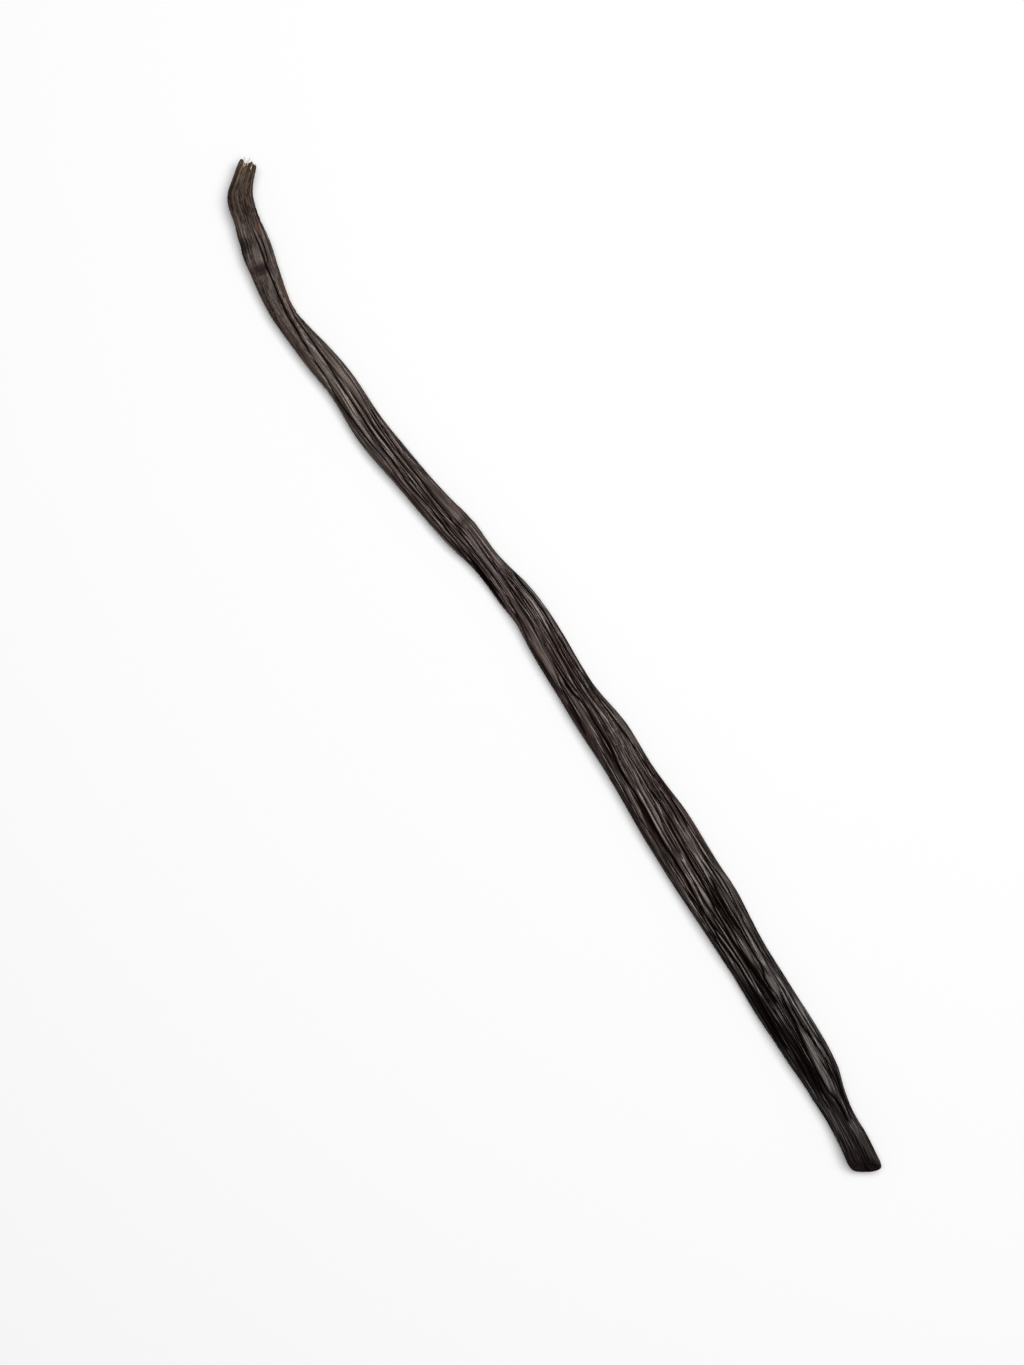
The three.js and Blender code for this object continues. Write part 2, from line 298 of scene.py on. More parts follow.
# %% Furrows of the upper skin
UPPER_FURROWS = [
    # depth, half width, then distance and sideways offset of its points, all in millimetres
    (0.30, 0.15, [(8, -4.5), (11.5, -5), (15, -5.7), (18.5, -6.25), (22, -6.85), (26, -7.05), (30, -7.05)]),
    (0.45, 0.25, [(22, -6.85), (24, -6.9), (27, -7.05)]),
    (0.24, 0.16, [(29, -7.05), (34, -7.15), (38, -7.3), (42, -7.05), (47, -6.2), (54, -5.4),
     (61, -4.4), (70, -3.15)]),
    (0.26, 0.15, [(8.5, -3.85), (11, -4.15), (13, -4.7), (15, -5.2)]),
    (0.26, 0.16, [(20, -5.5), (24, -5.85), (30, -5.65), (36, -5.6), (42, -5.45), (48, -5.2),
     (54, -4.75), (60, -3.75)]),
    (0.26, 0.18, [(58, -4.15), (62, -3.55), (65, -3.3), (68, -2.95), (72, -2.6), (78, -2.2)]),
    (0.16, 0.15, [(22, -5.15), (25, -5.3), (29.5, -5.05), (34, -4.7)]),
    (0.23, 0.16, [(36, -4.9), (40, -4.6), (46, -4.45), (50, -4.1), (54, -3.55), (58, -3.1),
     (63, -2.9), (68, -2.3), (76, -1.85)]),
    (0.22, 0.16, [(50, -4.6), (53, -4.2), (57, -3.9), (61, -3.6), (64, -3.2)]),
    (0.24, 0.17, [(43, -3.45), (50, -3.2), (54, -2.75), (58, -2.4), (63, -1.95), (68, -1.6),
     (72, -1.2), (76, -1)]),
    (0.26, 0.18, [(75, -0.95), (78, -1.15), (80, -1.4), (84, -1.75)]),
    (0.13, 0.13, [(46, -2.6), (51, -2.45), (56, -1.9)]),
    (0.17, 0.14, [(63, -0.1), (67, 0.05), (70, 0.28), (75, 0.2), (79, 0.55), (84, 0.55), (91, 0.65)]),
    (0.18, 0.14, [(63, -0.5), (68, -0.25), (73, -0.1), (80, 0), (88, -0.1), (92, -0.35)]),
    (0.26, 0.17, [(73, 2), (76, 2.3), (80, 2.75), (85, 2.8), (91, 2.9), (97, 3.2), (103, 3.65),
     (107, 3.9), (113, 4.15)]),
    (0.15, 0.15, [(74, 1.8), (80, 1.85), (86, 1.75), (92, 2.3), (97, 2.2)]),
    (0.17, 0.15, [(77, 1.4), (84, 1.3), (90, 1.35), (94, 1.1), (98, 1.55), (103, 1.3)]),
    (0.32, 0.21, [(90, -0.2), (93, -0.25), (96, 0.35), (102, 0.5), (105, 0.3), (108, -0.15),
     (116, -0.15), (120, -0.45)]),
    (0.42, 0.26, [(115, -0.15), (120, -0.45), (126, -0.35), (131, -0.7)]),
    (0.30, 0.19, [(128, -0.55), (133, -0.7), (135, -0.6), (137, -0.75), (143, -0.5), (150, -0.8),
     (158, -0.7)]),
    (0.24, 0.17, [(89, -0.7), (92, -1.15), (96, -1.35), (101, -1.8)]),
    (0.22, 0.16, [(102, -1), (106, -1.1), (114, -1.4), (122, -1.15), (135, -1.1), (146, -1.5)]),
    (0.14, 0.14, [(97, -0.35), (101, -0.25), (106, -0.6), (112, -0.75)]),
    (0.24, 0.17, [(104, 2.2), (107, 2.4), (113, 2.4), (118, 2.6), (124, 2.5), (130, 2.35), (134, 2.1)]),
    (0.20, 0.15, [(109, 1.95), (112, 1.65), (116, 1.5), (121, 1.3), (126, 0.6), (131, 0.3), (139, 0.2),
     (146, 0.2)]),
    (0.16, 0.14, [(111, 0.9), (116.2, 0.95)]),
    (0.17, 0.12, [(106, 2.9), (112, 3.1), (118, 3.25), (124, 3.3)]),
    (0.17, 0.12, [(112, 3.85), (118, 3.8), (124, 3.95), (130, 4.1)]),
    (0.17, 0.12, [(118, 1.1), (123, 1.2), (128, 1.25)]),
    (0.22, 0.16, [(113, 4.3), (117, 4.7), (122, 4.4), (127, 4.5), (131, 4.75), (135, 4.45),
     (140, 4.2), (147, 4.3)]),
    (0.38, 0.23, [(128, 3.2), (131, 3.05), (135, 2.85), (139, 2.95), (144, 2.85), (146, 2.25), (149, 2.2)]),
    (0.36, 0.24, [(117, 2.15), (124, 1.85), (129, 1.65), (133, 1.3), (137, 1.1), (143, 1.1),
     (147, 1.7), (151, 1.8)]),
    (0.20, 0.15, [(131, 3.75), (136, 3.5), (141, 3.25), (145, 3.5)]),
    (0.24, 0.17, [(137, 1.9), (140, 1.4), (142.5, 0.95), (146, 0.75), (153, 0.7)]),
    (0.40, 0.24, [(150, 2.6), (153, 2.75), (157, 2.05), (161, 1.6), (165, 1.5), (169, 1.9), (172, 1.75)]),
    (0.28, 0.17, [(151, 3.5), (154, 3.4), (160, 3.75), (163, 3.5), (167, 2.95), (172, 2.3)]),
    (0.24, 0.16, [(153, 4.35), (160, 4.45), (164, 3.95), (168, 3.2), (171, 2.85)]),
    (0.26, 0.18, [(151, 0.05), (157, 0.2), (163, 0.4), (168, 0.5)]),
    (0.18, 0.15, [(174, 1.3), (177, 1.6)]),
]
print("furrows of the upper skin:", len(UPPER_FURROWS))

# %% [markdown]
# A curve is turned into a mask by asking every sample how far to its side the curve passes. The mask
# is 1 on the curve and falls off smoothly, so its power gives a narrower line on the same course.
# That makes two things of each furrow: a cut in the skin, and the thin line of painted shade along its
# bottom.

# %% Lay the furrows down
FADE_BEYOND, FADE_WITHIN = 1, 2         # how far a curve fades beyond and within its ends
SIDE_FALL = 1.4
# A furrow this deep gets its full painted shade.
FULL_SHADE_DEPTH = 0.26                       # a furrow this deep is fully dark


def along_curve(half_width, points):
    """1 on a curve drawn on the upper skin, fading to its sides and ends."""
    places, offsets = np.array(points, float).T
    course = through(places, offsets, np.clip(distance, places[0], places[-1]))
    off = np.abs(form[..., 1] + unevenness - course) / half_width
    start = smoothstep(distance, places[0] - FADE_BEYOND, places[0] + FADE_WITHIN)
    end = smoothstep(distance, places[-1] - FADE_WITHIN, places[-1] + FADE_BEYOND)
    return upper_skin * start * (1 - end) * np.exp(-off ** SIDE_FALL)


# Each furrow cuts the skin and paints a thin line of shade along its bottom.
upper_furrows = np.zeros_like(distance)
furrow_shade = np.zeros_like(distance)
for depth, half_width, points in UPPER_FURROWS:
    profile = along_curve(half_width, points)
    upper_furrows = np.maximum(upper_furrows, depth * profile * depth_noise)
    narrowness = np.interp(depth, (0.2, 0.3), (2.2, 1.2))    # deep furrows show a wider dark line
    furrow_shade = np.maximum(furrow_shade, min(depth / FULL_SHADE_DEPTH, 1) * profile ** narrowness)
print("deepest furrow of the upper skin:", upper_furrows.max().round(2), "mm")

# %% [markdown]
# ## Ridges with painted sheen
# Between furrows that run close together the skin stands up in thin ridges. Their backs are painted
# pale as a sheen, so they show as bright lines of painted highlight. They are drawn like the furrows,
# and lift the skin a little where they run.

# %% Ridges with painted sheen
SHEEN_RIDGES = [
    # painted sheen, half width, then distance and sideways offset of its points, all in millimetres
    (0.68, 0.20, [(24, -6.5), (29, -6.5), (36, -6.5), (42, -5.8)]),
    (0.6, 0.16, [(36, -5.2), (41, -5.0), (46, -4.8), (51, -4.45)]),
    (0.7, 0.14, [(39, -6.65), (43, -6.5), (48, -6.0), (53, -5.4), (60, -4.6)]),
    (0.9, 0.15, [(48, -5.75), (52, -5.3), (56, -4.8), (60, -4.2), (64, -3.75)]),
    (0.8, 0.14, [(59, -5.2), (62, -4.85), (65, -4.3), (68, -3.7), (71, -3.1)]),
    (0.7, 0.14, [(50, -3.6), (54, -3.3), (58, -2.9), (62, -2.5), (67, -2.1)]),
    (0.6, 0.14, [(46, -3.0), (50, -2.85), (55, -2.2), (60, -1.9)]),
    (0.6, 0.13, [(70, -2.0), (75, -1.5), (79, -1.75), (84, -1.55)]),
    (0.9, 0.13, [(75, 2.45), (79, 3.0), (84, 3.15), (90, 3.1), (94, 3.05)]),
    (0.7, 0.14, [(64, 0.55), (68, 0.55), (72, 0.9), (76, 1.2)]),
    (0.6, 0.12, [(72, -0.3), (78, -0.3), (84, -0.3)]),
    (0.9, 0.16, [(95, 3.4), (98, 3.9), (101, 4.2), (106, 4.3)]),
    (0.5, 0.13, [(95, 1.15), (99, 1.1), (103, 0.9)]),
    (0.8, 0.17, [(101, 2.0), (105, 2.05), (109, 2.2), (113, 2.1)]),
    (0.8, 0.14, [(102, -0.85), (106, -0.8), (111, -1.0), (116, -1.2), (122, -1.45)]),
    (0.6, 0.12, [(107, 0.25), (111, 0.15), (117, 0.2), (122, 0.15), (128, 0.1)]),
    (0.7, 0.11, [(104, 3.2), (109, 3.3), (114, 3.5), (119, 3.55)]),
    (0.7, 0.11, [(108, 2.75), (114, 2.8), (120, 2.95), (126, 2.85)]),
    (0.7, 0.11, [(112, 1.9), (117, 1.8), (121, 1.65)]),
    (0.8, 0.14, [(116, 3.3), (120, 4.0), (126, 4.75), (132, 5.05)]),
    (0.7, 0.10, [(119, -1.0), (126, -0.95), (132, -0.8)]),
    (0.7, 0.10, [(115, -1.7), (123, -1.65), (132, -1.5)]),
    (0.7, 0.13, [(119, 2.25), (124, 2.15), (128, 2.0), (132, 1.75)]),
    (0.7, 0.13, [(123, 0.95), (128, 0.85), (133, 0.65), (140, 0.6)]),
    (0.6, 0.12, [(128, -0.9), (134, -0.9), (140, -0.85), (147, -0.9)]),
    (0.7, 0.13, [(129, 3.6), (134, 3.8), (139, 3.7), (144, 3.9)]),
    (0.7, 0.12, [(138, 0.5), (143, 0.55), (147, 1.2)]),
    (0.6, 0.12, [(145, -0.1), (150, 0.25), (155, 0.35), (160, 0.35)]),
    (0.5, 0.11, [(148, 1.25), (153, 1.15), (158, 0.9)]),
    (0.8, 0.13, [(151, 3.1), (154, 3.05), (158, 2.75), (162, 1.95)]),
    (0.7, 0.13, [(153, 3.95), (158, 4.1), (162, 3.75), (166, 3.1)]),
    (0.5, 0.12, [(163, 2.65), (167, 2.5), (171, 2.2)]),
]
# Each ridge's back is painted pale as a sheen.
sheen_ridges = np.zeros_like(distance)
for painted_sheen, half_width, points in SHEEN_RIDGES:
    sheen_ridges = np.maximum(sheen_ridges, painted_sheen * along_curve(half_width, points))
print("pale ridges:", len(SHEEN_RIDGES))

# %% [markdown]
# ## The folds of the shrunken skin
# Between those furrows, and all over the underside, the skin has shrunk into long narrow folds. Each
# ends in a point, and the furrows round it run together at sharp angles. Stretched Voronoi cells
# have just this pattern: seeds 20 mm apart along the pod and half a millimetre round it, each
# jittered, and a furrow wherever two seeds are equally near. Every file of seeds starts at its own
# distance, so that the folds don't end in rows.

# %% Long cells
JITTER = 0.42                   # how far a seed strays from the middle of its cell, in cells
FAR = 9.0                       # further than any seed that is looked at


def long_cells(cells_round, cell_length, waver):
    """0 on the edge between two long cells and 1 on the back of a cell."""
    rows = int(POD_LENGTH / cell_length) + 5
    jitter = rng.uniform(-JITTER, JITTER, (2, rows, cells_round))
    start = rng.uniform(0, 1, cells_round)
    across_pod = turn * cells_round / (2 * np.pi) + waver
    along_pod = np.clip(distance, 0, POD_LENGTH) / cell_length + 2
    column = np.floor(across_pod).astype(int)
    nearest = np.full(distance.shape, FAR)
    second = nearest
    for j in (-1, 0, 1):
        file = (column + j) % cells_round
        row = np.floor(along_pod - start[file]).astype(int)
        for i in (-1, 0, 1):
            aside = column + j + 0.5 + jitter[0][row + i, file] - across_pod
            ahead = row + i + start[file] + 0.5 + jitter[1][row + i, file] - along_pod
            gap = np.hypot(aside, ahead)
            second = np.minimum(second, np.maximum(nearest, gap))
            nearest = np.minimum(nearest, gap)
    return np.clip(second - nearest, 0, 1)


# %% [markdown]
# The cells are far longer than wide, so the same step means a fraction of a millimetre across them
# and many along them. Dividing by the steepness gives the true distance to an edge, which keeps
# every furrow thin. Edges that run across the pod aren't steep, and fade out.

# %% How far it is to the edge of a cell
LEAST_STEEPNESS = 0.8
CLEAR_STEEPNESS = (0.5, 1.8)

column_step = 2 * np.pi * mean_radius / COLUMNS


def to_edge(cells):
    """The distance in millimetres to the nearest edge that runs lengthwise, and how clear it is."""
    rise = np.abs(np.roll(cells, -1, axis=1) - cells) / column_step
    steepness = np.maximum(rise, np.roll(rise, 1, axis=1))
    return cells / np.maximum(steepness, LEAST_STEEPNESS), smoothstep(steepness, *CLEAR_STEEPNESS)


def round_backed(gap, half_width):
    """The cut beside an edge: deepest on it, and easing out to the round back of a ridge."""
    return (1 - np.clip(gap / half_width, 0, 1)) ** 1.7


print("columns are", column_step.min().round(3), "to", column_step.max().round(3), "mm apart")

# %% [markdown]
# The folds come from one set of long cells and the finer wrinkles from another with twice as many
# round the pod. Both fade where the pod is slim, because they would crowd there, and just
# behind the bend, where the skin is stretched smoother. On the dry neck they come back. A narrow
# bell over each edge is kept as its shade, the dark line that the material draws.

# %% Where folds and wrinkles fade
CROWDED = (0.55, 0.85)
CALM_PLACE, CALM_REACH, CALM_SHARE = 33, 9, 0.35

waver = layered((0.6, 5, 12), (0.25, 9, 5))
crowding = 0.25 + 0.75 * smoothstep(narrowing, *CROWDED)
calm = 1 - CALM_SHARE * np.exp(-((distance - CALM_PLACE) / CALM_REACH) ** 2)
print("folds keep", (crowding * calm).min().round(2), "of their depth where they fade most")


def shade_line(strength, gap, half_width):
    """A thin dark line along an edge."""
    return strength * np.exp(-(gap / half_width) ** 2)


# %% Folds
FOLDS_ROUND, FOLD_LENGTH, FOLD_DEPTH = 27, 20, 0.24
FOLD_HALF_WIDTH, FOLD_LINE = 0.3, 0.095

fold_gap, fold_clear = to_edge(long_cells(FOLDS_ROUND, FOLD_LENGTH, waver))
fold_strength = fold_clear * (0.8 + layered((0.5, 7, 13))).clip(0.25, 1.3)
fold_strength = fold_strength * (crowding + 0.4 * neck) * calm
folds = FOLD_DEPTH * fold_strength * round_backed(fold_gap, FOLD_HALF_WIDTH)
fold_shade = shade_line(fold_strength, fold_gap, FOLD_LINE)
print("folds are", round(2 * math.pi * mean_radius.mean() / FOLDS_ROUND, 2), "mm apart")

# %% Wrinkles
WRINKLES_ROUND, WRINKLE_LENGTH, WRINKLE_DEPTH = 54, 12, 0.10
WRINKLE_HALF_WIDTH, WRINKLE_LINE = 0.16, 0.07

wrinkle_gap, wrinkle_clear = to_edge(long_cells(WRINKLES_ROUND, WRINKLE_LENGTH, 2 * waver))
wrinkle_strength = wrinkle_clear * (0.7 + layered((0.6, 9, 9))).clip(0.1, 1.3)
wrinkle_strength = wrinkle_strength * crowding * (1 + neck) * calm
wrinkles = WRINKLE_DEPTH * wrinkle_strength * round_backed(wrinkle_gap, WRINKLE_HALF_WIDTH)
wrinkle_shade = shade_line(wrinkle_strength, wrinkle_gap, WRINKLE_LINE)
print("deepest fold and wrinkle:", folds.max().round(2), wrinkles.max().round(2), "mm")

# %% [markdown]
# ## Hollows
# Leathery hollows a few millimetres long tilt the skin this way and that, and give it the uneven
# facets that catch the light in patches. The largest are listed: there the skin has fallen in
# between two ridges, and its colour is darkened there as painted shade.

# %% Hollows
LARGE_HOLLOWS = [
    # distance, sideways offset, half length, half width, depth
    [134, 2.0, 4, 0.5, 0.22],
    [146, 1.3, 6, 0.6, 0.2],
    [150, -0.6, 7, 0.9, 0.15],
    [159, 0.3, 8, 1.2, 0.5],
    [118, -0.45, 7, 0.45, 0.12],
    [106, -0.3, 5, 0.3, 0.1],
    [73, -2.6, 7, 0.5, 0.15],
    [151, -1.0, 8, 0.8, 0.1],
]
FULL_HOLLOWS = (35, 70)         # between these distances the hollows come up to their full depth
HOLLOW_SHADE_EDGE = (0.15, 0.65)


def upper_patch(place, offset, half_length, half_width, tilt=0.0):
    """A soft mask, 1 at one place of the upper skin and fading round it."""
    ahead = (distance - place) / half_length
    aside = (form[..., 1] - offset - tilt * (distance - place)) / half_width
    return np.exp(-ahead ** 2 - aside ** 2) * upper_skin


hollows = layered((0.10, 5, 10), (0.07, 9, 7), (0.04, 17, 5))
hollows = hollows * (0.45 + 0.55 * smoothstep(distance, *FULL_HOLLOWS))
hollow_shade = np.zeros_like(distance)
# Inside the largest hollows the colour is darkened as painted shade.
for place, offset, half_length, half_width, depth in LARGE_HOLLOWS:
    mask = upper_patch(place, offset, half_length, half_width)
    hollows = hollows + depth * mask
    hollow_shade = np.maximum(hollow_shade, smoothstep(mask, *HOLLOW_SHADE_EDGE))
print("hollows within", np.abs(hollows).max().round(2), "mm")

# %% [markdown]
# ## Cross wrinkles and dents
# Where the pod bends, the skin on the inside of the bend is pressed into short wrinkles that run
# across it. Two old dents mark the stem end, and a shallow one lies further along. Each is a patch:
# a wave or a hollow times a soft mask round one place of the skin.

# %% Cross wrinkles and dents
CROSS_WRINKLES = [
    # distance, angle, half length, half span in radians, spacing, depth
    [7, 0.3, 5, 1.1, 0.95, 0.09],
    [24, 0.5, 6, 0.9, 1.2, 0.07],
    [34, 2.9, 5, 0.8, 1.3, 0.07],
    [66, 1.2, 7, 1.0, 1.5, 0.06],
    [77, 2.6, 5, 0.9, 1.2, 0.07],
    [112, 0.6, 8, 0.8, 1.7, 0.05],
    [166, 1.8, 6, 1.5, 1.1, 0.07],
]
DENTS = [
    # distance, angle, depth
    [10.4, 2.2, 0.26],
    [14.6, 1.75, 0.3],
    [63.5, 1.1, 0.2],
]
DENT_LENGTH, DENT_SPAN = 0.65, 0.75


def patch(place, middle, half_length, half_span):
    """A soft mask, 1 at one place of the skin and fading round it."""
    along = (distance - place) / half_length
    round_pod = 2 * np.sin((angle - middle) / 2) / half_span
    return np.exp(-along ** 2 - round_pod ** 2)


cross_wrinkles = np.zeros_like(distance)
slope = layered((0.35, 7, 6))
for place, middle, half_length, half_span, spacing, depth in CROSS_WRINKLES:
    wave = valleys(distance / spacing + slope)
    cross_wrinkles += depth * wave * patch(place, middle, half_length, half_span)
dents = sum(depth * patch(place, middle, DENT_LENGTH, DENT_SPAN) for place, middle, depth in DENTS)
print("cross wrinkles:", len(CROSS_WRINKLES), "dents:", len(DENTS))

# %% [markdown]
# ## Smooth patches
# Here and there the skin stayed plump and shows as a smooth, silky patch between the furrows. The
# largest lie beside the first seam near the stem. Their mask holds back the fine relief, and
# the material uses it again for the sheen. Most of them are also painted pale, as a painted sheen.

# %% Smooth patches
SMOOTH_PATCHES = [
    # distance, sideways offset, half length, half width, tilt, painted sheen
    [11, -4.6, 2, 0.22, -0.2, 0.8],
    [11, -5.6, 3.5, 0.8, -0.2, 0.4],
    [15, -7.0, 5, 1.0, -0.25, 0.0],
    [23, -8.0, 8, 0.8, 0.02, 0.0],
    [33, -6.5, 5, 0.4, 0.0, 0.65],
    [36, -4.4, 6, 0.6, 0.1, 0.5],
    [60, -1.0, 6, 1.0, 0.17, 0.5],
    [67, 0.95, 4, 0.3, 0.03, 0.6],
    [68, -0.8, 6, 0.4, 0.05, 0.5],
    [87, -1.0, 5, 0.6, -0.06, 1.0],
    [80, -0.6, 5, 0.3, -0.02, 0.6],
    [98, -0.5, 4, 0.5, -0.08, 0.6],
    [103, 4.2, 4, 0.35, 0.05, 0.95],
    [112.5, 1.3, 3, 0.3, -0.04, 0.7],
    [123.5, 3.6, 3, 0.45, 0.0, 0.68],
    [131, 0.9, 4, 0.2, 0.0, 0.4],
    [141, 2.0, 2.5, 0.4, -0.05, 0.8],
    [147.3, 2.8, 2.2, 0.45, 0.04, 1.2],
    [152.5, 4.6, 2, 0.3, -0.05, 0.8],
    [161, 2.4, 6, 0.5, -0.12, 0.8],
    [174, 2.2, 4, 0.6, -0.05, 0.3],
]
PATCH_EDGE = (0.2, 0.75)
FOLDS_LOST, WRINKLES_LOST, FOLD_LINES_LOST = 0.8, 0.4, 0.75     # shares that a smooth patch takes away

smooth_skin = np.zeros_like(distance)
painted_sheen = sheen_ridges
# Each smooth patch is painted pale by its share, as a sheen.
for place, offset, half_length, half_width, tilt, sheen_share in SMOOTH_PATCHES:
    mask = smoothstep(upper_patch(place, offset, half_length, half_width, tilt), *PATCH_EDGE)
    smooth_skin = np.maximum(smooth_skin, mask)
    painted_sheen = np.maximum(painted_sheen, sheen_share * mask)
folds = folds * (1 - FOLDS_LOST * smooth_skin)
fold_shade = fold_shade * (1 - FOLD_LINES_LOST * smooth_skin)
wrinkles = wrinkles * (1 - WRINKLES_LOST * smooth_skin)
wrinkle_shade = wrinkle_shade * (1 - WRINKLES_LOST * smooth_skin)
print("smooth share of the skin:", (smooth_skin > 0.5).mean().round(3))

# %% [markdown]
# ## From relief to a mesh
# The depths add up to one cut, taken off the smooth form all round. The pod rests on its underside,
# where the relief is pressed nearly flat. The stem tip is torn unevenly. The blossom end broke
# off slantwise, so that its face shows from above.

# %% Cut the relief into the form
CROSSING = 0.35                 # share of the lesser furrow that is added where two furrows meet
BACKS_CUT = 0.1                 # leaves room above the ridges' backs for hollows that are negative
RIDGE_HEIGHT = 0.07
PRESSED = 0.7                   # share of the relief that is pressed flat on the underside
RESTING = (0.7, 0.93)           # how far down the skin has to face for that, from none to all of it
SKIN_INSET = 0.05               # keeps the finer skin inside the faceted solid's box

underside = smoothstep(-np.sin(angle), *RESTING)
seams = np.maximum(main_furrows, upper_furrows)
furrows = np.maximum(seams, folds) + CROSSING * np.minimum(seams, folds)
cut = furrows + wrinkles + cross_wrinkles + hollows + BACKS_CUT - RIDGE_HEIGHT * sheen_ridges
cut = cut * (1 - PRESSED * underside) + dents + SKIN_INSET
half_width, half_thickness = form_width - cut, form_thickness - cut
print("deepest cut:", cut.max().round(2), "mm")

# %% Shape the skin
TEAR_DEPTH, TEAR_REACH = 0.5, 3.0
END_STRETCH, END_SLANT, END_RAKE, END_REACH = 0.45, 1.05, 1.1, 4.0

tear = TEAR_DEPTH * np.sin(3 * turn + 0.6) + layered((0.35, 23, 4))
tear = tear * (1 - smoothstep(distance, 0, TEAR_REACH))
slant = END_SLANT * np.cos(angle) - END_RAKE * np.sin(angle)
ending = (END_STRETCH + ring_radius * slant) * smoothstep(distance, POD_LENGTH - END_REACH, POD_LENGTH)
skin = middle_line(distance)
skin = skin + across * (ring_radius * half_width * np.cos(angle))[..., None]
skin = skin + up * (ring_radius * half_thickness * np.sin(angle))[..., None]
skin = skin + along * (ring_radius * tear + ending)[..., None]
skin[..., 2] = np.maximum(skin[..., 2], 0)
print("the skin rests on", (skin[..., 2] == 0).mean().round(3), "of its points")

# %% [markdown]
# The skin has to sit exactly where the solid is. Both were worked out from the stem tip, and the
# solid was then centred, so the skin is moved until its blossom end, its middle and its underside meet
# those of the solid's box.

# %% Move the skin onto the solid
low, high = (np.array(corner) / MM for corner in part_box("pod"))
skin_low, skin_high = skin.min(axis=(0, 1)), skin.max(axis=(0, 1))
shift = np.array([high[0] - skin_high[0], (low[1] + high[1] - skin_low[1] - skin_high[1]) / 2, low[2]])
skin = skin + shift
print("moved by", shift.round(2), "mm")


# %% Build the skin as a closed mesh
def rolled_mesh(name, grid):
    """A closed mesh from a grid of rings. The first and the last ring are single points."""
    rings, columns = grid.shape[0] - 2, grid.shape[1]
    points = np.concatenate([grid[0, :1], grid[1:-1].reshape(-1, 3), grid[-1, :1]])
    here = 1 + np.arange(rings * columns).reshape(rings, columns)
    beside = np.roll(here, -1, axis=1)
    quads = np.stack([here[:-1], beside[:-1], beside[1:], here[1:]], axis=-1).reshape(-1, 4)
    last = len(points) - 1
    fans = [(0, int(b), int(a)) for a, b in zip(here[0], beside[0])]
    fans += [(last, int(a), int(b)) for a, b in zip(here[-1], beside[-1])]
    mesh = bpy.data.meshes.new(name)
    mesh.from_pydata((points * MM).tolist(), [], quads.tolist() + fans)
    mesh.shade_smooth()
    piece = bpy.data.objects.new(name, mesh)
    bpy.context.scene.collection.objects.link(piece)
    return piece


def grid_values(values):
    """The values of a grid in the order of a rolled mesh's points."""
    return np.concatenate([values[0, :1], values[1:-1].reshape(-1), values[-1, :1]])


pod_skin = rolled_mesh("pod_skin", skin)
triangles = sum(len(polygon.vertices) - 2 for polygon in pod_skin.data.polygons)
print("pod_skin triangles:", triangles)

# %% [markdown]
# ## What the material has to know
# The mesh carries a few numbers at every point, which the node material reads as attributes. They
# say how much painted shade lies along the furrows, in the hollows and in the dents, how much painted
# sheen the skin has, how smooth and dry it is, and where the point is on the unrolled skin, so that
# the grain can be stretched along the pod with no seam. Only the bottom of a furrow gets its painted
# shade, which keeps that dark line thin.

# %% Reddish zones and dark spots
REDDISH_ZONES = [
    # distance, sideways offset, half length, half width, tilt
    [20, -5.35, 2.5, 0.45, -0.1],
    [14.7, -6.8, 0.7, 1.6, 0.0],
    [24.5, -6.9, 2, 0.25, 0.0],
    [65.5, -3.4, 1.5, 0.4, 0.2],
    [68, -1.5, 2, 0.4, 0.1],
    [74.5, -2.4, 3, 0.5, -0.1],
    [84, 1.6, 8, 1.0, 0.02],
    [117, -0.4, 6, 0.4, 0.0],
    [133.5, 2.1, 3, 0.7, 0.0],
    [160, 0.6, 5, 0.8, 0.0],
]
TAN_SPOTS = [
    # distance, sideways offset, half length, half width, tilt
    [19.7, -5.3, 2.4, 0.42, -0.12],
    [8.8, -3.7, 1.5, 0.3, -0.15],
    [1.2, 0.2, 0.8, 0.45, 0.4],
    [14, -4.7, 1.6, 0.15, -0.2],
]
DARK_SPOTS = [
    # distance, sideways offset, half length, half width, tilt
    [10.6, -6.4, 0.8, 0.6, 0.0],
    [11.0, -7.3, 1.5, 0.35, -0.35],
]
FULL_DENT_SHADE = 0.25              # a dent this deep is fully dark
SPOT_EDGE = (0.15, 0.6)


def spots(rows):
    return np.max([upper_patch(*row) for row in rows], axis=0)


redness = spots(REDDISH_ZONES)
tan_spots = smoothstep(spots(TAN_SPOTS), *SPOT_EDGE)
# The dents are painted darker in proportion to their depth, as painted shade, and the listed dark spots
# darken the skin beside them.
dent_shade_and_spots = np.maximum(np.clip(dents / FULL_DENT_SHADE, 0, 1), spots(DARK_SPOTS))
print("reddish, tan and bruised shares:", [mask.mean().round(3) for mask in (redness, tan_spots, dent_shade_and_spots)])

# %% Shine, and tone with painted shade, along the pod
# Each point is a distance and the value there.
SHINE_ALONG = [(0, 0.1), (5, 0.15), (11, 0.6), (22, 0.65), (40, 0.75), (60, 0.9), (105, 0.85),
               (130, 1.05), (150, 1.3), (162, 1.05), (168, 0.55), (176, 0.3)]
TONE_ALONG = [(0, -0.8), (8, 0.0), (14, 0.8), (38, 1.0), (47, 0.5), (60, -0.3), (100, -0.6), (135, -0.6),
              (150, -0.9), (178, -1.2)]
